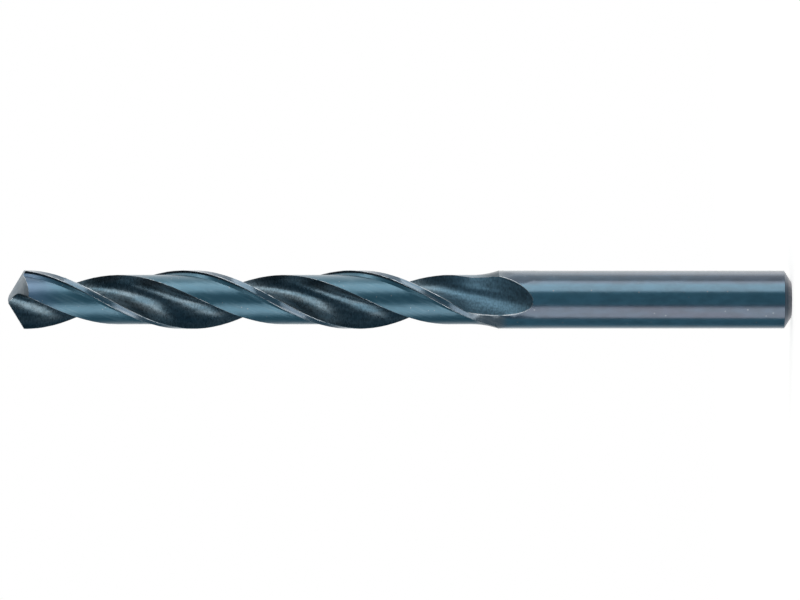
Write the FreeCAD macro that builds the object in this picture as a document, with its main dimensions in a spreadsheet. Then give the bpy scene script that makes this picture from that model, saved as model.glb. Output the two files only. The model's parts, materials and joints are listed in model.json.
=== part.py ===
import FreeCAD, Part
import math
import os

import Sketcher
from FreeCAD import Placement, Rotation, Vector

# Right-hand jobber twist drill, one piece of high-speed steel. The axis is Z: the flat end of the
# shank lies on z = 0 and the chisel edge is at the top. The two cutting lips run along X.

doc = FreeCAD.newDocument("twist_drill")
sheet = doc.addObject("Spreadsheet::Sheet", "sizes")

# Driving dimensions, in millimetres and degrees.
driving = {
    "overall_length": 133.0,
    "drill_diameter": 10.0,
    "back_taper": 0.05,
    "shank_diameter": 9.86,
    "shank_length": 42.6,
    "shank_blend": 1.2,
    "end_bevel_length": 1.29,
    "end_bevel_angle": 57.0,
    "end_round": 0.6,
    "helix_angle": 29.0,
    "point_angle": 118.0,
    "web_thickness": 1.87,
    "web_growth": 0.0049,
    "flute_heel_radius": 2.23,
    "flute_heel_sweep": 60.9,
    "full_depth_length": 78.65,
    "lift_radius": 14.84,
    "lift_direction": 53.3,
    "lift_slope": 9.4,
    "margin_width": 1.0,
    "clearance_diameter": 8.4,
    "clearance_foot_width": 0.55,
    "clearance_foot_depth": 0.35,
    "clearance_sweep": 85.0,
    "flank_cone_angle": 16.84,
    "flank_cone_reach": 21.9,
    "flank_cone_skew": 0.99,
    "section_step": 24.0,
}
for row, (name, value) in enumerate(driving.items(), start=1):
    sheet.set("A%d" % row, name)
    sheet.set("B%d" % row, str(value))
    sheet.setAlias("B%d" % row, name)
doc.recompute()


def size(name):
    return float(sheet.get(name))


radius = size("drill_diameter") / 2
half_web = size("web_thickness") / 2
half_point = math.radians(size("point_angle") / 2)
lead = math.pi * size("drill_diameter") / math.tan(math.radians(size("helix_angle")))
full_turn = 360.0
cutter_reach = 1.3 * radius


def bind(item, links):
    for path, text in links.items():
        item.setExpression(path, text)


# How far the end of the chisel edge, on the axis, lies below the height where the two lips would
# meet. Each flank is part of a cone that touches its lip and has its vertex behind the axis.
def chisel_drop():
    cone = math.radians(size("flank_cone_angle"))
    tilt = half_point - cone
    reach = size("flank_cone_reach")
    along = reach * math.sin(half_point)
    across = half_web + size("flank_cone_skew")
    square = math.cos(tilt) ** 2 - math.cos(cone) ** 2
    linear = -2 * along * math.sin(tilt) * math.cos(tilt)
    rest = (along * math.sin(tilt)) ** 2 - (along ** 2 + across ** 2) * math.cos(cone) ** 2
    roots = math.sqrt(linear ** 2 - 4 * square * rest)
    below = max((-linear + roots) / (2 * square), (-linear - roots) / (2 * square))
    return -(below + reach * math.cos(half_point))


lip_height = size("overall_length") + chisel_drop()
lift_height = size("overall_length") - size("full_depth_length")
blank_height = size("overall_length") + 1.0


# The ground bar before fluting: bevelled shank end, shank, short blend and slightly tapered body.
def make_blank():
    body = doc.addObject("PartDesign::Body", "blank")
    plane = [item for item in body.Origin.OriginFeatures if item.Role == "XZ_Plane"][0]
    outline = body.newObject("Sketcher::SketchObject", "blank_outline")
    outline.AttachmentSupport = [(plane, "")]
    outline.MapMode = "FlatFace"

    shank = size("shank_diameter") / 2
    slope = math.radians(90 - size("end_bevel_angle"))
    edge = shank - size("end_bevel_length") / math.tan(slope)
    nose_reach = size("end_round") * math.tan(slope / 2)
    blend_start = size("shank_length")
    blend_end = blend_start + size("shank_blend")
    corners = [
        Vector(0, 0, 0),
        Vector(edge - nose_reach, 0, 0),
        Vector(edge + nose_reach * math.cos(slope), nose_reach * math.sin(slope), 0),
        Vector(shank, size("end_bevel_length"), 0),
        Vector(shank, blend_start, 0),
        Vector(radius - size("back_taper"), blend_end, 0),
        Vector(radius, blank_height, 0),
        Vector(0, blank_height, 0),
    ]
    end_face = outline.addGeometry(Part.LineSegment(corners[0], corners[1]))
    nose_middle = Vector(
        corners[1].x + size("end_round") * math.sin(slope / 2),
        size("end_round") * (1 - math.cos(slope / 2)),
        0,
    )
    nose = outline.addGeometry(Part.Arc(corners[1], nose_middle, corners[2]))
    bevel = outline.addGeometry(Part.LineSegment(corners[2], corners[3]))
    side = outline.addGeometry(Part.LineSegment(corners[3], corners[4]))
    blend = outline.addGeometry(Part.LineSegment(corners[4], corners[5]))
    land = outline.addGeometry(Part.LineSegment(corners[5], corners[6]))
    top = outline.addGeometry(Part.LineSegment(corners[6], corners[7]))
    axis = outline.addGeometry(Part.LineSegment(corners[7], corners[0]))

    add = outline.addConstraint
    add(Sketcher.Constraint("Coincident", end_face, 1, -1, 1))
    add(Sketcher.Constraint("Horizontal", end_face))
    add(Sketcher.Constraint("Tangent", end_face, 2, nose, 1))
    add(Sketcher.Constraint("Tangent", nose, 2, bevel, 1))
    for first, second in ((bevel, side), (side, blend), (blend, land), (land, top), (top, axis)):
        add(Sketcher.Constraint("Coincident", first, 2, second, 1))
    add(Sketcher.Constraint("Coincident", axis, 2, end_face, 1))
    add(Sketcher.Constraint("Vertical", side))
    add(Sketcher.Constraint("Horizontal", top))
    add(Sketcher.Constraint("Vertical", axis))

    def measure(name, constraint, text):
        number = add(constraint)
        outline.renameConstraint(number, name)
        outline.setExpression("Constraints." + name, text)

    measure("shank_radius", Sketcher.Constraint("DistanceX", axis, 2, side, 1, shank),
            "sizes.shank_diameter / 2")
    measure("bevel_height", Sketcher.Constraint("DistanceY", end_face, 1, side, 1, corners[3].y),
            "sizes.end_bevel_length")
    measure("bevel_slope", Sketcher.Constraint("Angle", bevel, slope),
            "90 - sizes.end_bevel_angle")
    measure("nose_radius", Sketcher.Constraint("Radius", nose, size("end_round")),
            "sizes.end_round")
    measure("shank_height", Sketcher.Constraint("DistanceY", end_face, 1, side, 2, blend_start),
            "sizes.shank_length")
    measure("blend_height",
            Sketcher.Constraint("DistanceY", blend, 1, blend, 2, size("shank_blend")),
            "sizes.shank_blend")
    measure("body_root", Sketcher.Constraint("DistanceX", axis, 2, blend, 2, corners[5].x),
            "sizes.drill_diameter / 2 - sizes.back_taper")
    measure("body_radius", Sketcher.Constraint("DistanceX", axis, 2, land, 2, radius),
            "sizes.drill_diameter / 2")
    measure("body_height", Sketcher.Constraint("DistanceY", end_face, 1, land, 2, blank_height),
            "sizes.overall_length + 1")

    doc.recompute()
    turned = body.newObject("PartDesign::Revolution", "turned_bar")
    turned.Profile = outline
    turned.ReferenceAxis = (outline, ["V_Axis"])
    turned.Angle = full_turn
    body.Tip = turned
    doc.recompute()
    return body


# The angle a point of the helix has turned through, seen from the point, at a height.
def twist(height):
    return full_turn * (height - lip_height) / lead


# How far a wheel of the lift radius has left the work, a distance past the full depth.
def lifted(past):
    return size("lift_radius") - math.sqrt(max(size("lift_radius") ** 2 - past ** 2, 0))


# The distance past the full depth at which the wheel has lifted by a given amount.
def lift_length(amount):
    return math.sqrt(2 * size("lift_radius") * amount - amount ** 2)


# Heights of the sections of a cutter, from above the point down to where its wheel is clear.
def section_heights(run_out):
    top = blank_height + 1.5
    steps = math.ceil((top - lift_height) / (lead * size("section_step") / full_turn))
    heights = [top - (top - lift_height) * step / steps for step in range(steps + 1)]
    lifts = math.ceil(run_out / 1.1)
    heights += [lift_height - run_out * step / lifts for step in range(1, lifts + 1)]
    return heights


# A circular bend, drawn as one cubic curve so that the lofts through it stay light.
def bend(centre, distance, start, stop):
    handle = distance * math.tan((stop - start) / 4) * 4 / 3

    def at(angle, lead_in):
        ray = Vector(math.cos(angle), math.sin(angle), 0)
        return centre + ray * distance + Vector(-ray.y, ray.x, 0) * lead_in

    curve = Part.BezierCurve()
    curve.setPoles([at(start, 0), at(start, handle), at(stop, -handle), at(stop, 0)])
    return curve.toShape()


# The two straight edges that close a cutter's section outside the drill.
def closing(first, last):
    middle = (first + last).normalize() * cutter_reach
    return [Part.LineSegment(first, middle).toShape(), Part.LineSegment(middle, last).toShape()]


# The flute across the drill, at the height of the lips. Its rake side is the curve that makes the
# lip straight: every point of the lip, turned by the helix over its own depth below the lip height.
def flute_section():
    rake = []
    steps = 5
    for step in range(steps + 1):
        along = cutter_reach * step / steps
        turned = Rotation(Vector(0, 0, 1), full_turn * along / math.tan(half_point) / lead)
        rake.append(turned.multVec(Vector(along, half_web, 0)))
    rake_side = Part.BSplineCurve()
    rake_side.interpolate(rake)

    bottom = size("flute_heel_radius")
    sweep = math.radians(size("flute_heel_sweep"))
    centre = Vector(0, half_web + bottom, 0)
    heel_side = bend(centre, bottom, -math.pi / 2, -math.pi / 2 - sweep)
    bend_end = centre - Vector(bottom * math.sin(sweep), bottom * math.cos(sweep), 0)
    outward = Vector(-math.cos(sweep), math.sin(sweep), 0)
    beyond = bend_end + outward * (cutter_reach - bend_end.y)
    straight = Part.LineSegment(bend_end, beyond).toShape()
    return Part.Wire([rake_side.toShape(), heel_side, straight] + closing(beyond, rake[-1]))


# The path of the fluting wheel: a screw that slowly rises for the growing web, then, where the
# wheel lifts out, a straight line along its own plane while the section leaves the work.
def flute_cutter():
    section = flute_section()
    direction = math.radians(size("lift_direction"))
    outward = Vector(math.cos(direction), math.sin(direction), 0)
    sideways = Vector(-outward.y, outward.x, 0)
    slope = math.tan(math.radians(size("lift_slope")))
    sections = []
    for height in section_heights(lift_length(radius)):
        held = max(height, lift_height)
        past = held - height
        rise = size("web_growth") * (lip_height - held) + lifted(past)
        shift = outward * rise - sideways * (slope * past)
        turn = Placement(Vector(0, 0, height), Rotation(Vector(0, 0, 1), twist(held)))
        moved = section.copy()
        moved.Placement = turn.multiply(Placement(shift, Rotation()))
        sections.append(moved)
    return Part.makeLoft(sections, True, False)


# The sector cleared behind a margin, across the drill: a radial step with a sloping foot, then
# the clearance circle as far as the next flute.
def clearance_section(floor):
    edge = math.degrees(math.asin(half_web / radius))
    edge += full_turn * math.sqrt(radius ** 2 - half_web ** 2) / math.tan(half_point) / lead
    margin = size("margin_width") / math.cos(math.radians(size("helix_angle"))) / radius
    start = math.radians(edge) - margin
    foot = start - size("clearance_foot_width") / floor
    stop = start - math.radians(size("clearance_sweep"))

    def polar(distance, angle):
        return Vector(distance * math.cos(angle), distance * math.sin(angle), 0)

    step_top = polar(cutter_reach, start)
    step_foot = polar(floor + size("clearance_foot_depth"), start)
    floor_stop = polar(floor, stop)
    stop_top = polar(cutter_reach, stop)
    return Part.Wire([
        Part.LineSegment(step_top, step_foot).toShape(),
        Part.LineSegment(step_foot, polar(floor, foot)).toShape(),
        bend(Vector(0, 0, 0), floor, foot, stop),
        Part.LineSegment(floor_stop, stop_top).toShape(),
    ] + closing(stop_top, step_top))


def clearance_cutter():
    depth = radius - size("clearance_diameter") / 2
    sections = []
    for height in section_heights(lift_length(depth + 0.3)):
        floor = size("clearance_diameter") / 2 + lifted(max(lift_height - height, 0))
        moved = clearance_section(floor)
        moved.Placement = Placement(Vector(0, 0, height), Rotation(Vector(0, 0, 1), twist(height)))
        sections.append(moved)
    return Part.makeLoft(sections, True, False)


# Each flank is what a slab over the point leaves when a tilted cone is taken out of it.
def flank_cutter(name):
    slab = doc.addObject("Part::Cylinder", name + "_slab")
    bind(slab, {"Radius": "sizes.drill_diameter * 0.65", "Height": "sizes.drill_diameter * 0.85"})
    slab.Placement = Placement(Vector(0, 0, lip_height - 0.55 * 2 * radius), Rotation())
    cone = doc.addObject("Part::Cone", name + "_cone")
    bind(cone, {
        "Height": "sizes.flank_cone_reach * 2",
        "Radius2": "sizes.flank_cone_reach * 2 * tan(sizes.flank_cone_angle * 1 deg)",
    })
    cone.Radius1 = 0
    reach = size("flank_cone_reach")
    vertex = Vector(
        -reach * math.sin(half_point),
        half_web + size("flank_cone_skew"),
        lip_height + reach * math.cos(half_point),
    )
    tilt = 180 - size("point_angle") / 2 + size("flank_cone_angle")
    cone.Placement = Placement(vertex, Rotation(Vector(0, 1, 0), tilt))
    cutter = doc.addObject("Part::Cut", name)
    cutter.Base = slab
    cutter.Tool = cone
    return cutter


def shaped(name, shape, turned):
    item = doc.addObject("Part::Feature", name)
    item.Shape = shape
    item.Placement = Placement(Vector(0, 0, 0), Rotation(Vector(0, 0, 1), turned))
    return item


blank = make_blank()
flute = flute_cutter()
clearance = clearance_cutter()
cutters = []
for side, turned in (("first", 0), ("second", 180)):
    cutters.append(shaped(side + "_flute", flute, turned))
for side, turned in (("first", 0), ("second", 180)):
    cutters.append(shaped(side + "_clearance", clearance, turned))
for side, turned in (("first", 0), ("second", 180)):
    flank = flank_cutter(side + "_flank")
    flank.Placement = Placement(Vector(0, 0, 0), Rotation(Vector(0, 0, 1), turned))
    cutters.append(flank)

drill = blank
for cutter in cutters:
    cut = doc.addObject("Part::Cut", "less_" + cutter.Name)
    cut.Base = drill
    cut.Tool = cutter
    doc.recompute()
    print(cut.Name, "removes", round(drill.Shape.Volume - cut.Shape.Volume, 2), "mm3")
    drill = cut
drill.Label = "drill_bit"

for item in doc.Objects:
    if "Invalid" in item.State or "Error" in item.State:
        raise RuntimeError("failed object: " + item.Name)
shape = drill.Shape
if shape.isNull() or not shape.isValid() or len(shape.Solids) != 1:
    raise RuntimeError("the drill is not one valid solid")
os.makedirs("parts", exist_ok=True)
shape.exportStep("parts/" + drill.Label + ".step")
box = shape.optimalBoundingBox()
print("lead", round(lead, 2), "chisel drop", round(chisel_drop(), 3))
print("box", [round(v, 3) for v in (box.XMin, box.YMin, box.ZMin, box.XMax, box.YMax, box.ZMax)])
print("volume", round(shape.Volume, 1), "faces", len(shape.Faces))
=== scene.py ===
import json
import math
import bpy
from mathutils import Matrix, Vector

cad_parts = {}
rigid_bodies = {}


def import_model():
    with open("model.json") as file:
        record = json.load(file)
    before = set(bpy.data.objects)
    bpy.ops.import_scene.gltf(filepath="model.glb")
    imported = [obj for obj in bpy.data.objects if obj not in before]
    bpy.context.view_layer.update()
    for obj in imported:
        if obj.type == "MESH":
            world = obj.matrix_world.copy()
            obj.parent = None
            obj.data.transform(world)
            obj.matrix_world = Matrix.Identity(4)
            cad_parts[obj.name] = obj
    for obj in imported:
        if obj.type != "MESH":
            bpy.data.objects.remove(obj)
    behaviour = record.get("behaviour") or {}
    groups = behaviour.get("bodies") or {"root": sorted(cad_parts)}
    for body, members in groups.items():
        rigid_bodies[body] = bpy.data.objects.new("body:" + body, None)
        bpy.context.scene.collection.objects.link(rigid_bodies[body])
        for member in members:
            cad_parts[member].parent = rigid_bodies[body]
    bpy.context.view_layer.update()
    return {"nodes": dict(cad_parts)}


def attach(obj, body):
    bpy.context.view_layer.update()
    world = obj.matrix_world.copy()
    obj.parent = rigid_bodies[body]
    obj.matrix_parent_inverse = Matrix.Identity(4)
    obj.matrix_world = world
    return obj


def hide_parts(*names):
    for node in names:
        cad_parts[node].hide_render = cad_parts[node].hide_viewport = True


# Twist drill, one piece of high-speed steel, steam-oxidised blue-black.
# It stands on the flat end of its shank, and the camera looks at it level from the side.

mm = 0.001
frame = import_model()


def deselectAll():
    for item in bpy.context.view_layer.objects:
        item.select_set(False)


def linear(hexText):
    values = [int(hexText[start:start + 2], 16) / 255 for start in (1, 3, 5)]
    curve = [v / 12.92 if v <= 0.04045 else ((v + 0.055) / 1.055) ** 2.4 for v in values]
    return (*curve, 1.0)


# Sets or links a node's inputs. Values without a name go to the inputs in use, in their order, and
# baseColor=value goes to Base Color. A node given as a value stands for its first output in use.
def connect(tree, node, *ordered, **named):
    keys = [number for number, socket in enumerate(node.inputs) if socket.enabled][:len(ordered)]
    for name in named:
        keys.append("".join(" " + sign if sign.isupper() else sign for sign in name).title())
    for key, value in zip(keys, (*ordered, *named.values())):
        if isinstance(value, bpy.types.Node):
            value = next(socket for socket in value.outputs if socket.enabled)
        if isinstance(value, bpy.types.NodeSocket):
            tree.links.new(value, node.inputs[key])
        else:
            node.inputs[key].default_value = value


# Adds a node with its settings and its links.
def addNode(tree, kind, settings, *ordered, **named):
    node = tree.nodes.new("ShaderNode" + kind)
    for name, value in settings.items():
        setattr(node, name, value)
    connect(tree, node, *ordered, **named)
    return node


# Settings that many nodes share.
times = {"operation": "MULTIPLY"}
plus = {"operation": "ADD"}
larger = {"operation": "MAXIMUM"}
soft = {"interpolation_type": "SMOOTHSTEP"}
blend = {"data_type": "RGBA"}
shade = {"data_type": "RGBA", "blend_type": "MULTIPLY"}


def newMaterial(name):
    material = bpy.data.materials.new(name)
    material.use_nodes = True
    return material, material.node_tree, material.node_tree.nodes["Principled BSDF"]


view = {
    "distance": 1500.0 * mm,
    "heading": -83.2,  # degrees round the drill, from +X; the cutting lips run along X
    "height": 66.45 * mm,
    "sidestep": -0.07 * mm,
    "pixelsPerMm": 5.891,  # at the drill's axis
    "pictureWidth": 800.0,  # pixels
    "sensorWidth": 36.0,
    "clip": (0.01, 20.0),  # metres, nearest and farthest that it sees
}


def makeCamera():
    heading = math.radians(view["heading"])
    back = Vector((math.cos(heading), math.sin(heading), 0))
    right = Vector((0, 0, -1))  # the point of the drill is at the left of the picture
    up = back.cross(right)
    camera = bpy.data.objects.new("camera", bpy.data.cameras.new("camera"))
    bpy.context.scene.collection.objects.link(camera)
    across = view["pictureWidth"] / view["pixelsPerMm"] * mm
    camera.data.lens = view["sensorWidth"] * view["distance"] / across
    camera.data.sensor_width = view["sensorWidth"]
    camera.data.clip_start, camera.data.clip_end = view["clip"]
    turn = Matrix((right, up, back)).transposed().to_4x4()
    place = back * view["distance"] + Vector((0, 0, view["height"])) + up * view["sidestep"]
    camera.matrix_world = Matrix.Translation(place) @ turn
    bpy.context.scene.camera = camera


makeCamera()
print("camera ready")

studio = {
    "floorHex": "#f4f4f2",
    "floorRoughness": 0.9,
    "floorSize": 0.7,  # metres across
    "floorSides": 96,
    "floorGlow": 0.66,  # added for the camera alone, so the paper is white and keeps its shadow
    "roomGlossy": (0.045, 0.100, 0.140, 1.0),  # the dim room that steel mirrors between the boxes
    "ceilingGlossy": (0.004, 0.008, 0.014, 1.0),  # and the darker end of it, past the drill's point
    "ceilingStart": (0.50, 0.68),  # sines of the height
    "roomDiffuse": 0.33,  # how much soft light that room gives
    "backdropTurn": 147.0,  # degrees round the drill from the camera to the white wall
    "backdropEdge": (-0.20, 0.88),  # cosines of the angle from its middle, outside to full white
    "backdropFoot": (-0.85, -0.6),  # sines of the height, where it starts and is full
    "boxDistance": 2.5,  # metres from the drill
    "boxes": {
        # Degrees round from the camera, degrees up, width and height in degrees, roll, radiance.
        "keyBox": (60.0, 2.0, 33.0, 60.0, -45.0, 2.15),
        "fillBox": (-51.0, -1.0, 28.0, 62.0, -55.0, 2.1),
        "rimBox": (126.0, -14.0, 28.0, 26.0, 0.0, 0.6),
    },
}


# Matt white paper: a plain ground that shows only the drill's soft shadow.
def makeFloor():
    deselectAll()
    bpy.ops.mesh.primitive_circle_add(vertices=studio["floorSides"],
                                      radius=studio["floorSize"] / 2,
                                      fill_type="NGON", location=(0, 0, 0))
    floor = bpy.context.object
    floor.name = "floor"
    floor.visible_glossy = False  # the steel mirrors the room alone, with no table in it
    material, tree, shader = newMaterial("pale_floor_paper")
    ray = addNode(tree, "LightPath", {})
    glow = addNode(tree, "Math", times, ray.outputs["Is Camera Ray"], studio["floorGlow"])
    connect(tree, shader, baseColor=linear(studio["floorHex"]),
            roughness=studio["floorRoughness"], emissionColor=(1, 1, 1, 1),
            emissionStrength=glow)
    floor.data.materials.append(material)


# Soft light boxes that face the drill; in steel each shows as a bright streak.
def makeBoxes():
    for name, (around, raised, width, height, roll, radiance) in studio["boxes"].items():
        angle = math.radians(view["heading"] + around)
        rise = math.radians(raised)
        toLamp = Vector((math.cos(angle) * math.cos(rise), math.sin(angle) * math.cos(rise),
                         math.sin(rise)))
        lamp = bpy.data.objects.new(name, bpy.data.lights.new(name, "AREA"))
        bpy.context.scene.collection.objects.link(lamp)
        lamp.data.shape = "RECTANGLE"
        lamp.data.size = 2 * studio["boxDistance"] * math.tan(math.radians(width / 2))
        lamp.data.size_y = 2 * studio["boxDistance"] * math.tan(math.radians(height / 2))
        lamp.data.energy = radiance * math.pi * lamp.data.size * lamp.data.size_y
        side = Vector((0, 0, 1)).cross(toLamp).normalized()
        turn = Matrix((side, toLamp.cross(side), toLamp)).transposed().to_4x4()
        place = toLamp * studio["boxDistance"] + Vector((0, 0, view["height"]))
        spin = Matrix.Rotation(math.radians(roll), 4, "Z")
        lamp.matrix_world = Matrix.Translation(place) @ turn @ spin


# The camera sees white all round. Steel mirrors a white wall, a dim room and its dark end, and
# everything gets the room's soft light.
def makeWorld():
    world = bpy.data.worlds.new("studio_room")
    bpy.context.scene.world = world
    world.use_nodes = True
    tree = world.node_tree
    tree.nodes.clear()
    direction = addNode(tree, "TexCoord", {}).outputs["Generated"]
    up = addNode(tree, "SeparateXYZ", {}, direction).outputs["Z"]
    backing = math.radians(view["heading"] + studio["backdropTurn"])
    facing = addNode(tree, "VectorMath", {"operation": "DOT_PRODUCT"},
                     direction, (math.cos(backing), math.sin(backing), 0.0))
    backdrop = addNode(tree, "MapRange", soft, facing, *studio["backdropEdge"])
    foot = addNode(tree, "MapRange", soft, up, *studio["backdropFoot"])
    wall = addNode(tree, "Math", times, backdrop, foot)
    ray = addNode(tree, "LightPath", {})
    mirrored = addNode(tree, "Math", larger,
                       ray.outputs["Is Glossy Ray"], ray.outputs["Is Transmission Ray"])
    shown = addNode(tree, "Math", times, mirrored, wall)
    white = addNode(tree, "Math", larger, ray.outputs["Is Camera Ray"], shown)
    high = addNode(tree, "MapRange", soft, up, *studio["ceilingStart"])
    dim = addNode(tree, "Mix", blend, high, studio["roomGlossy"], studio["ceilingGlossy"])
    diffuse = (studio["roomDiffuse"], studio["roomDiffuse"], studio["roomDiffuse"], 1.0)
    room = addNode(tree, "Mix", blend, mirrored, diffuse, dim)
    colour = addNode(tree, "Mix", blend, white, room, (1.0, 1.0, 1.0, 1.0))
    background = addNode(tree, "Background", {}, color=colour, strength=1.0)
    addNode(tree, "OutputWorld", {}, surface=background)


makeFloor()
makeBoxes()
makeWorld()
bpy.context.scene.view_settings.view_transform = "Standard"
print("studio ready")

drill = {
    "lead": math.pi * 10.0 * mm / math.tan(math.radians(29.0)),  # 10 mm, a helix of 29 degrees
    "mergeDistance": 0.0004 * mm,
    "smoothAngle": 22.0,  # degrees; sharper folds stay crisp edges
    "barRadius": 4.92 * mm,  # the ground bar, shank and margins, is nowhere thinner
    "barFacing": 0.97,  # on it, at least this share of a face's normal points out from the axis
    "landRadius": 4.1 * mm,  # a land's floor is nowhere thinner
    "landFacing": 0.95,  # the same share on that floor
    "footFacing": 0.5,  # and on the sloped foot of the step, which lies between these two angles
    "landFrom": 12.0,  # degrees from the lips, unwound
    "landTo": 73.0,
    "flankStart": 127.0 * mm,  # below this height nothing belongs to the ground point
    "flankFacing": 0.6,  # on it, at least this share of a face's normal points up
    "endBevelTop": 1.35 * mm,
    "edgeWear": 0.13 * mm,  # width of the rubbed line along every sharp outer edge
    "edgeFacets": 3,
    "innerWear": 0.5,  # share of that width on edges that lie deeper than the ground bar
    "ringStart": 0.6 * mm,  # level edges above this height are not rubbed
    "ringRise": 0.02 * mm,  # an edge that rises less than this is level
}


def copyOfSolid():
    source = frame["nodes"]["drill_bit"]
    piece = source.copy()
    piece.data = source.data.copy()
    piece.name = "drill_skin"
    piece.parent = None
    for key in list(piece.keys()):
        del piece[key]
    bpy.context.scene.collection.objects.link(piece)
    deselectAll()
    bpy.context.view_layer.objects.active = piece
    piece.select_set(True)
    bpy.ops.object.mode_set(mode="EDIT")
    bpy.ops.mesh.select_all(action="SELECT")
    bpy.ops.mesh.remove_doubles(threshold=drill["mergeDistance"])
    bpy.ops.mesh.normals_make_consistent(inside=False)
    bpy.ops.object.mode_set(mode="OBJECT")
    if piece.data.has_custom_normals:
        bpy.ops.mesh.customdata_custom_splitnormals_clear()
    bpy.ops.object.shade_smooth_by_angle(angle=math.radians(drill["smoothAngle"]))
    return piece


# The finish that a face has, from its place and the way it faces.
def zoneOf(piece, face):
    corners = [piece.data.vertices[number].co for number in face.vertices]
    innermost = min(math.hypot(corner.x, corner.y) for corner in corners)
    centre = face.center
    around = math.hypot(centre.x, centre.y)
    unwound = math.degrees(math.atan2(centre.y, centre.x)
                           - 2 * math.pi * centre.z / drill["lead"]) % 180
    outward = (face.normal.x * centre.x + face.normal.y * centre.y) / max(around, 1e-9)
    if centre.z > drill["flankStart"] and face.normal.z > drill["flankFacing"]:
        return "flank"
    if centre.z < drill["endBevelTop"] and outward < drill["barFacing"]:
        return "end"
    if outward > drill["barFacing"] and innermost > drill["barRadius"]:
        return "bar"
    if innermost > drill["landRadius"]:
        onLand = drill["landFrom"] < unwound < drill["landTo"]
        if outward > drill["landFacing"] or onLand and outward > drill["footFacing"]:
            return "land"
    return "flute"


# Marks the sharp outer edges, which handling rubs. The inner ones, as at the step's foot, and the
# level rings, where a land or the bevel meets the shank, keep their oxide.
def markRubbedEdges(piece):
    beside = {}
    for face in piece.data.polygons:
        for pair in face.edge_keys:
            beside.setdefault(pair, []).append(face)
    weights = piece.data.attributes.new("bevel_weight_edge", "FLOAT", "EDGE")
    for line in piece.data.edges:
        faces = beside.get(line.key, [])
        if len(faces) != 2:
            continue
        fold = math.degrees(faces[0].normal.angle(faces[1].normal, 0.0))
        outer = (faces[1].center - faces[0].center).dot(faces[0].normal) < 0
        ends = [piece.data.vertices[end].co for end in line.vertices]
        reach = min(math.hypot(*end.xy) for end in ends)
        level = abs(ends[0].z - ends[1].z) < drill["ringRise"]
        ring = level and ends[0].z > drill["ringStart"]
        if outer and fold > drill["smoothAngle"] and not ring:
            onBar = reach > drill["barRadius"]
            weights.data[line.index].value = 1.0 if onBar else drill["innerWear"]


skin = copyOfSolid()
print("skin", len(skin.data.vertices), "points", len(skin.data.polygons), "faces")


# Object coordinates in millimetres, so that every pattern below has its real size.
def millimetres(tree):
    place = addNode(tree, "TexCoord", {}).outputs["Object"]
    return addNode(tree, "VectorMath", {"operation": "SCALE"}, place, 1 / mm)


# The same, unwound by the helix: what is stretched along Z here runs along the flutes.
def alongFlutes(tree, place):
    height = addNode(tree, "SeparateXYZ", {}, place).outputs["Z"]
    unwind = addNode(tree, "Math", times, height, -2 * math.pi * mm / drill["lead"])
    return addNode(tree, "VectorRotate", {"rotation_type": "Z_AXIS"}, place, angle=unwind)


# Millimetres from the axis.
def fromAxis(tree, place):
    level = addNode(tree, "VectorMath", times, place, (1.0, 1.0, 0.0))
    return addNode(tree, "VectorMath", {"operation": "LENGTH"}, level)


# Every mottle is given by its size in millimetres along X, Y and Z, and how much detail it has.
def mottle(tree, place, size, detail):
    fitted = addNode(tree, "VectorMath", {"operation": "DIVIDE"}, place, size)
    return addNode(tree, "TexNoise", {}, vector=fitted, scale=1.0, detail=detail)


middle = (0.3, 0.7)  # nearly all of a mottle lies between these two values


# Share of a soft-edged stripe along the drill, centred some degrees round from +X.
def stripe(tree, place, around, halfWidth, softness):
    level = addNode(tree, "VectorMath", times, place, (1.0, 1.0, 0.0))
    ray = addNode(tree, "VectorMath", {"operation": "NORMALIZE"}, level)
    angle = math.radians(around)
    near = addNode(tree, "VectorMath", {"operation": "DOT_PRODUCT"},
                   ray, (math.cos(angle), math.sin(angle), 0.0))
    rim = math.cos(math.radians(halfWidth + softness))
    core = math.cos(math.radians(max(halfWidth - softness, 0)))
    return addNode(tree, "MapRange", soft, near, rim, core)


nick = {
    "core": 0.6,  # share of its width where a nick is fully bare
    "rim": 1.2,  # and where it ends
    "choice": 0.02,  # how softly the cells that have one are told from the others
}


# Sparse bright nicks: one spot in some cells of a net. Spacing and spot are in millimetres.
def nicks(tree, place, spacing, spot, share):
    fitted = addNode(tree, "VectorMath", {"operation": "SCALE"}, place, 1 / spacing)
    cells = addNode(tree, "TexVoronoi", {}, vector=fitted, scale=1.0)
    width = spot / spacing
    dot = addNode(tree, "MapRange", soft,
                  cells.outputs["Distance"], width * nick["core"], width * nick["rim"], 1, 0)
    chosen = addNode(tree, "MapRange", soft,
                     cells.outputs["Color"], 1 - share, 1 - share + nick["choice"])
    return addNode(tree, "Math", times, dot, chosen)


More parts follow.
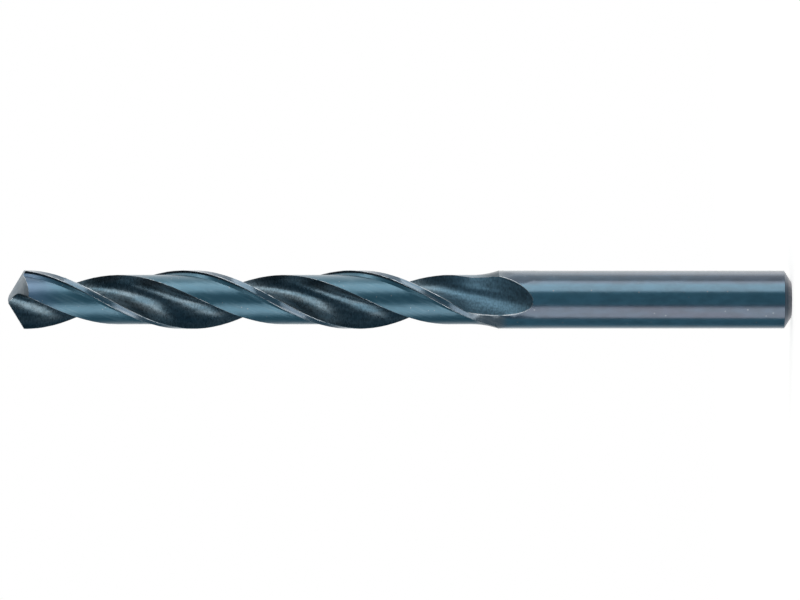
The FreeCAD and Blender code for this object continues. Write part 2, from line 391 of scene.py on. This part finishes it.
bar = {
    "blueHex": "#406e84",
    "violetHex": "#3d4459",
    "rubbedHex": "#8f979d",
    "marginHex": "#435f70",
    # Stripes of painted violet reflection tint, where the light boxes' reflections fall as the
    # camera sees the bar: degrees round the drill from +X, half width, softness and strength.
    "violetReflectionStripes": ((-109.2, 14.0, 5.0, 1.0), (-28.2, 21.0, 6.0, 0.75)),
    "patches": ((3.0, 3.0, 14.0), 2.0),  # where the violet is weaker
    "patchShare": (0.7, 1.0),
    "clouds": ((1.2, 1.2, 2.5), 4.0),  # the film's own faint clouds
    "cloudTone": (0.88, 1.12),
    "marginStart": (48.0, 50.0),  # millimetres up; the shank lies below, the margins above
    "marginShare": 0.75,  # of the margins' own colour
    "rubs": ((0.5, 0.5, 7.0), 3.0),  # what chips and hands have rubbed along the margins
    "rubSpan": (0.42, 0.72),
    "rubWear": (0.0, 0.45),
    "runOut": (56.0, 52.0),  # millimetres up, where the margins run out into the shank
    "runOutWear": (0.0, 0.5),
    "nicks": (1.1, 0.12, 0.3),  # millimetres apart, millimetres wide, share of the net's cells
    "filmMetallic": 0.4,
    "bareMetallic": 0.22,  # added where steel shows through
    "roughness": (0.19, 0.22),  # shank and margins
    "rings": ((4.0, 4.0, 0.30), 2.0),  # grinding lines are 0.02 mm apart, drawn coarser to show
    "ringRoughness": (-0.02, 0.05),
    "ringDepth": 0.0008,  # millimetres
    "coat": 1.0,
    "coatRoughness": 0.18,
}


# Steam oxide over a centreless-ground bar: glassy blue, with a violet tint painted in two stripes
# where the light boxes' reflections fall, faint grinding rings, and margins that handling has
# rubbed towards bare steel.
def oxideOnGroundBar():
    material, tree, shader = newMaterial("steam_oxide_on_ground_bar")
    place = millimetres(tree)
    height = addNode(tree, "SeparateXYZ", {}, place).outputs["Z"]
    # The violet is a painted tint of reflections, fixed where they fall as the camera sees the bar.
    violet = 0.0
    for around, halfWidth, softness, strength in bar["violetReflectionStripes"]:
        band = stripe(tree, place, around, halfWidth, softness)
        band = addNode(tree, "Math", times, band, strength)
        violet = addNode(tree, "Math", larger, violet, band)
    patches = mottle(tree, place, *bar["patches"])
    patches = addNode(tree, "MapRange", soft, patches, *middle, *bar["patchShare"])
    violet = addNode(tree, "Math", times, violet, patches)
    film = addNode(tree, "Mix", blend, violet, linear(bar["blueHex"]), linear(bar["violetHex"]))
    clouds = mottle(tree, place, *bar["clouds"])
    clouds = addNode(tree, "MapRange", soft, clouds, *middle, *bar["cloudTone"])
    grey = addNode(tree, "CombineColor", {}, clouds, clouds, clouds)
    film = addNode(tree, "Mix", shade, 1.0, film, grey)

    onMargin = addNode(tree, "MapRange", soft, height, *bar["marginStart"])
    duller = addNode(tree, "Math", times, onMargin, bar["marginShare"])
    film = addNode(tree, "Mix", blend, duller, film, linear(bar["marginHex"]))
    rubs = mottle(tree, alongFlutes(tree, place), *bar["rubs"])
    rubs = addNode(tree, "MapRange", soft, rubs, *bar["rubSpan"], *bar["rubWear"])
    runOut = addNode(tree, "MapRange", soft, height, *bar["runOut"], *bar["runOutWear"])
    worn = addNode(tree, "Math", plus, rubs, runOut)
    worn = addNode(tree, "Math", times, onMargin, worn)
    worn = addNode(tree, "Math", larger, worn, nicks(tree, place, *bar["nicks"]))
    colour = addNode(tree, "Mix", blend, worn, film, linear(bar["rubbedHex"]))

    bare = addNode(tree, "Math", larger, worn, onMargin)
    bare = addNode(tree, "Math", times, bare, bar["bareMetallic"])
    metallic = addNode(tree, "Math", plus, bare, bar["filmMetallic"])
    rings = mottle(tree, place, *bar["rings"])
    dull = addNode(tree, "MapRange", soft, onMargin, 0, 1, *bar["roughness"])
    uneven = addNode(tree, "MapRange", soft, rings, *middle, *bar["ringRoughness"])
    roughness = addNode(tree, "Math", plus, dull, uneven)
    relief = addNode(tree, "Bump", {}, strength=1.0, distance=bar["ringDepth"] * mm, height=rings)
    connect(tree, shader, baseColor=colour, metallic=metallic, roughness=roughness,
            coatWeight=bar["coat"], coatRoughness=bar["coatRoughness"], normal=relief)
    return material


land = {
    "blueHex": "#3b6b7e",
    "paleHex": "#648a9b",
    "paintedPointSheenHex": "#4d6f8c",
    "runOutHex": "#2a4653",
    "rubbedHex": "#8f979d",
    # The wheel's scratches are 0.02 mm apart on the real land, drawn at 0.45 mm so that they show.
    "scratches": ((0.45, 0.45, 6.0), 4.0),
    "scratchSpan": (0.35, 0.8),
    "clouds": ((1.5, 1.5, 4.0), 4.0),
    "cloudSpan": (0.3, 0.8),
    "pointStart": (122.5, 129.5),  # millimetres up, where the land turns lighter and more matt towards the point: a painted brightening for the broader highlight there
    "runOut": (54.5, 50.5),  # millimetres up, where the land runs out and is painted darker: painted shade, as that strip faces away from the light boxes
    "nicks": (0.8, 0.10, 0.30),
    "metallic": (0.6, 0.45),  # along the land and near the point
    "roughness": (0.31, 0.40),
    "scratchDepth": 0.0025,  # millimetres
    "coat": 0.75,
    "coatRoughness": 0.26,
}


# Steam oxide over relief-ground land: bluer and duller than the bar, with scratches along it.
def oxideOnGroundLand():
    material, tree, shader = newMaterial("steam_oxide_on_ground_land")
    place = millimetres(tree)
    height = addNode(tree, "SeparateXYZ", {}, place).outputs["Z"]
    scratches = mottle(tree, alongFlutes(tree, place), *land["scratches"])
    scratched = addNode(tree, "MapRange", soft, scratches, *land["scratchSpan"])
    clouds = mottle(tree, place, *land["clouds"])
    clouds = addNode(tree, "MapRange", soft, clouds, *land["cloudSpan"])
    pale = addNode(tree, "Math", times, scratched, clouds)
    colour = addNode(tree, "Mix", blend, pale, linear(land["blueHex"]), linear(land["paleHex"]))
    # Lighter towards the point: a painted brightening that stands in for a broader highlight there.
    near = addNode(tree, "MapRange", soft, height, *land["pointStart"])
    colour = addNode(tree, "Mix", blend, near, colour, linear(land["paintedPointSheenHex"]))
    # Darker at the run-out: painted shade on a strip of land that faces away from the light boxes.
    leaving = addNode(tree, "MapRange", soft, height, *land["runOut"])
    colour = addNode(tree, "Mix", blend, leaving, colour, linear(land["runOutHex"]))
    worn = nicks(tree, place, *land["nicks"])
    colour = addNode(tree, "Mix", blend, worn, colour, linear(land["rubbedHex"]))

    metallic = addNode(tree, "MapRange", soft, near, 0, 1, *land["metallic"])
    roughness = addNode(tree, "MapRange", soft, scratches, *middle, *land["roughness"])
    relief = addNode(tree, "Bump", {}, strength=1.0, distance=land["scratchDepth"] * mm,
                     height=scratches)
    connect(tree, shader, baseColor=colour, metallic=metallic, roughness=roughness,
            coatWeight=land["coat"], coatRoughness=land["coatRoughness"], normal=relief)
    return material


flute = {
    "steelHex": "#6c7a81",
    "deepHex": "#4b626e",
    "runOutHex": "#5c7c8d",
    "clouds": ((1.6, 1.6, 5.0), 3.0),
    # The wheel tears fine grain across the flute, 0.05 mm apart, drawn at 0.26 mm so that it shows.
    "grain": ((0.6, 0.6, 0.26), 3.0),
    "grainSpan": (0.32, 0.68),
    "grainTone": (0.74, 1.22),
    "drawn": ((0.5, 0.5, 9.0), 3.0),  # long drawn lines, 0.05 mm apart too, drawn at 0.5 mm
    "drawnTone": (0.88, 1.1),
    "runOut": (66.0, 54.0),  # millimetres up, where the flute starts to rise out of the bar
    "metallic": (0.93, 0.85),  # in the flute and at its run-out
    "roughness": (0.27, 0.31),
    "runOutRoughness": 0.20,  # added there
    "grainShare": 0.6,  # of the relief; the drawn lines have the rest
    "drawnShare": 0.4,
    "depth": 0.0015,  # millimetres
}


# Steam oxide in a ground flute: rough, granular, nearly black where no light box is mirrored;
# bluer and softer at the run-out, where the wheel leaves the bar and the film is thicker.
def oxideInFlute():
    material, tree, shader = newMaterial("steam_oxide_in_flute")
    place = millimetres(tree)
    height = addNode(tree, "SeparateXYZ", {}, place).outputs["Z"]
    helical = alongFlutes(tree, place)
    grain = mottle(tree, helical, *flute["grain"])
    drawn = mottle(tree, helical, *flute["drawn"])
    clouds = mottle(tree, helical, *flute["clouds"])
    clouds = addNode(tree, "MapRange", soft, clouds, *middle)
    colour = addNode(tree, "Mix", blend, clouds,
                     linear(flute["deepHex"]), linear(flute["steelHex"]))
    leaving = addNode(tree, "MapRange", soft, height, *flute["runOut"])
    colour = addNode(tree, "Mix", blend, leaving, colour, linear(flute["runOutHex"]))
    flecks = addNode(tree, "MapRange", soft, grain, *flute["grainSpan"], *flute["grainTone"])
    lines = addNode(tree, "MapRange", soft, drawn, *middle, *flute["drawnTone"])
    flecks = addNode(tree, "Math", times, flecks, lines)
    grey = addNode(tree, "CombineColor", {}, flecks, flecks, flecks)
    colour = addNode(tree, "Mix", shade, 1.0, colour, grey)

    metallic = addNode(tree, "MapRange", soft, leaving, 0, 1, *flute["metallic"])
    rough = addNode(tree, "MapRange", soft, grain, *middle, *flute["roughness"])
    duller = addNode(tree, "Math", times, leaving, flute["runOutRoughness"])
    roughness = addNode(tree, "Math", plus, rough, duller)
    crests = addNode(tree, "Math", plus, addNode(tree, "Math", times, grain, flute["grainShare"]),
                     addNode(tree, "Math", times, drawn, flute["drawnShare"]))
    relief = addNode(tree, "Bump", {}, strength=1.0, distance=flute["depth"] * mm, height=crests)
    connect(tree, shader, baseColor=colour, metallic=metallic, roughness=roughness,
            normal=relief)
    return material


point = {
    "steelHex": "#a3acb2",
    "shadeHex": "#84919a",
    "metallic": 1.0,
    # Grinding lines round the flanks are 0.03 mm apart, drawn at 0.22 mm so that they show.
    "lines": ((0.22, 1.5, 1.0), 3.0),
    "clouds": ((1.2, 1.2, 1.2), 3.0),
    "paleSpan": (0.12, 0.42),
    "roughness": (0.38, 0.50),
    "lineDepth": 0.004,  # millimetres
}


# High-speed steel ground to a cone: grey, satin, with fine arcs round the axis.
def groundPoint():
    material, tree, shader = newMaterial("ground_point_flank")
    place = millimetres(tree)
    height = addNode(tree, "SeparateXYZ", {}, place).outputs["Z"]
    arcs = addNode(tree, "CombineXYZ", {}, fromAxis(tree, place), height)
    lines = mottle(tree, arcs, *point["lines"])
    pale = addNode(tree, "Math", times, lines, mottle(tree, place, *point["clouds"]))
    pale = addNode(tree, "MapRange", soft, pale, *point["paleSpan"])
    colour = addNode(tree, "Mix", blend, pale,
                     linear(point["shadeHex"]), linear(point["steelHex"]))
    roughness = addNode(tree, "MapRange", soft, lines, *middle, *point["roughness"])
    relief = addNode(tree, "Bump", {}, strength=1.0, distance=point["lineDepth"] * mm,
                     height=lines)
    connect(tree, shader, baseColor=colour, metallic=point["metallic"], roughness=roughness,
            normal=relief)
    return material


shankEnd = {
    "darkHex": "#3e5a6b",
    "paleHex": "#8b91a0",
    "wornHex": "#aaa8ae",
    "rings": ((0.25, 1.0, 1.0), 2.0),  # turning rings are 0.1 mm apart, drawn coarser to show
    "ringSpan": (0.36, 0.64),
    "wornHeight": (1.0, 0.35),  # millimetres up, where the oxide starts to go and where it is gone
    "patches": ((0.5, 0.5, 0.5), 2.0),  # what is left of it there
    "patchSpan": (0.3, 0.6),
    "patchWear": (0.5, 1.0),
    "nicks": (0.9, 0.12, 0.15),
    "metallic": (0.55, 0.25),  # oxide, and the dull grey where it is worn
    "roughness": (0.32, 0.46),
    "ringDepth": 0.006,  # millimetres
    "coat": 0.3,
    "coatRoughness": 0.25,
}


# Oxide over a turned bevel and face: darker than the ground shank, with turning rings, and worn
# to a dull grey at the rim that the drill stands on.
def oxideOnTurnedEnd():
    material, tree, shader = newMaterial("steam_oxide_on_turned_end")
    place = millimetres(tree)
    height = addNode(tree, "SeparateXYZ", {}, place).outputs["Z"]
    circles = addNode(tree, "CombineXYZ", {}, fromAxis(tree, place))
    rings = mottle(tree, circles, *shankEnd["rings"])
    pale = addNode(tree, "MapRange", soft, rings, *shankEnd["ringSpan"])
    colour = addNode(tree, "Mix", blend, pale,
                     linear(shankEnd["darkHex"]), linear(shankEnd["paleHex"]))
    worn = addNode(tree, "MapRange", soft, height, *shankEnd["wornHeight"])
    patches = mottle(tree, place, *shankEnd["patches"])
    patches = addNode(tree, "MapRange", soft, patches, *shankEnd["patchSpan"],
                      *shankEnd["patchWear"])
    worn = addNode(tree, "Math", times, worn, patches)
    worn = addNode(tree, "Math", larger, worn, nicks(tree, place, *shankEnd["nicks"]))
    colour = addNode(tree, "Mix", blend, worn, colour, linear(shankEnd["wornHex"]))

    metallic = addNode(tree, "MapRange", soft, worn, 0, 1, *shankEnd["metallic"])
    roughness = addNode(tree, "MapRange", soft, rings, *middle, *shankEnd["roughness"])
    relief = addNode(tree, "Bump", {}, strength=1.0, distance=shankEnd["ringDepth"] * mm,
                     height=rings)
    connect(tree, shader, baseColor=colour, metallic=metallic, roughness=roughness,
            coatWeight=shankEnd["coat"], coatRoughness=shankEnd["coatRoughness"],
            normal=relief)
    return material


edge = {
    "steelHex": "#c9ced1",
    "oxideHex": "#5a7482",
    "metallic": 1.0,
    "breaks": ((0.9, 0.9, 1.6), 3.0),  # where oxide is left between two bare stretches
    "breakSpan": (0.30, 0.50),
    "roughness": (0.45, 0.32),  # oxide and steel
}


# Oxide rubbed through along the sharp edges: thin broken lines of bare bright steel.
def rubbedEdge():
    material, tree, shader = newMaterial("rubbed_bare_edge")
    breaks = mottle(tree, millimetres(tree), *edge["breaks"])
    bare = addNode(tree, "MapRange", soft, breaks, *edge["breakSpan"])
    colour = addNode(tree, "Mix", blend, bare, linear(edge["oxideHex"]), linear(edge["steelHex"]))
    roughness = addNode(tree, "MapRange", soft, bare, 0, 1, *edge["roughness"])
    connect(tree, shader, baseColor=colour, metallic=edge["metallic"], roughness=roughness)
    return material


finishes = {
    "bar": oxideOnGroundBar(),
    "land": oxideOnGroundLand(),
    "flute": oxideInFlute(),
    "flank": groundPoint(),
    "end": oxideOnTurnedEnd(),
    "edge": rubbedEdge(),
}
print("finishes ready", len(finishes))


def dressSkin(piece):
    piece.data.materials.clear()
    for finish in finishes.values():
        piece.data.materials.append(finish)
    order = list(finishes)
    for face in piece.data.polygons:
        face.material_index = order.index(zoneOf(piece, face))
    markRubbedEdges(piece)
    wear = piece.modifiers.new("rubbed_edges", "BEVEL")
    wear.limit_method = "WEIGHT"
    wear.width = drill["edgeWear"]
    wear.offset_type = "WIDTH"
    wear.segments = drill["edgeFacets"]
    wear.material = order.index("edge")
    wear.use_clamp_overlap = False
    wear.miter_outer = "MITER_SHARP"
    deselectAll()
    piece.select_set(True)
    bpy.context.view_layer.objects.active = piece
    bpy.ops.object.modifier_apply(modifier=wear.name)
    bpy.ops.object.shade_smooth_by_angle(angle=math.radians(drill["smoothAngle"]))


dressSkin(skin)
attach(skin, "root")
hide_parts("drill_bit")
print("drill ready", len(skin.data.polygons), "faces")
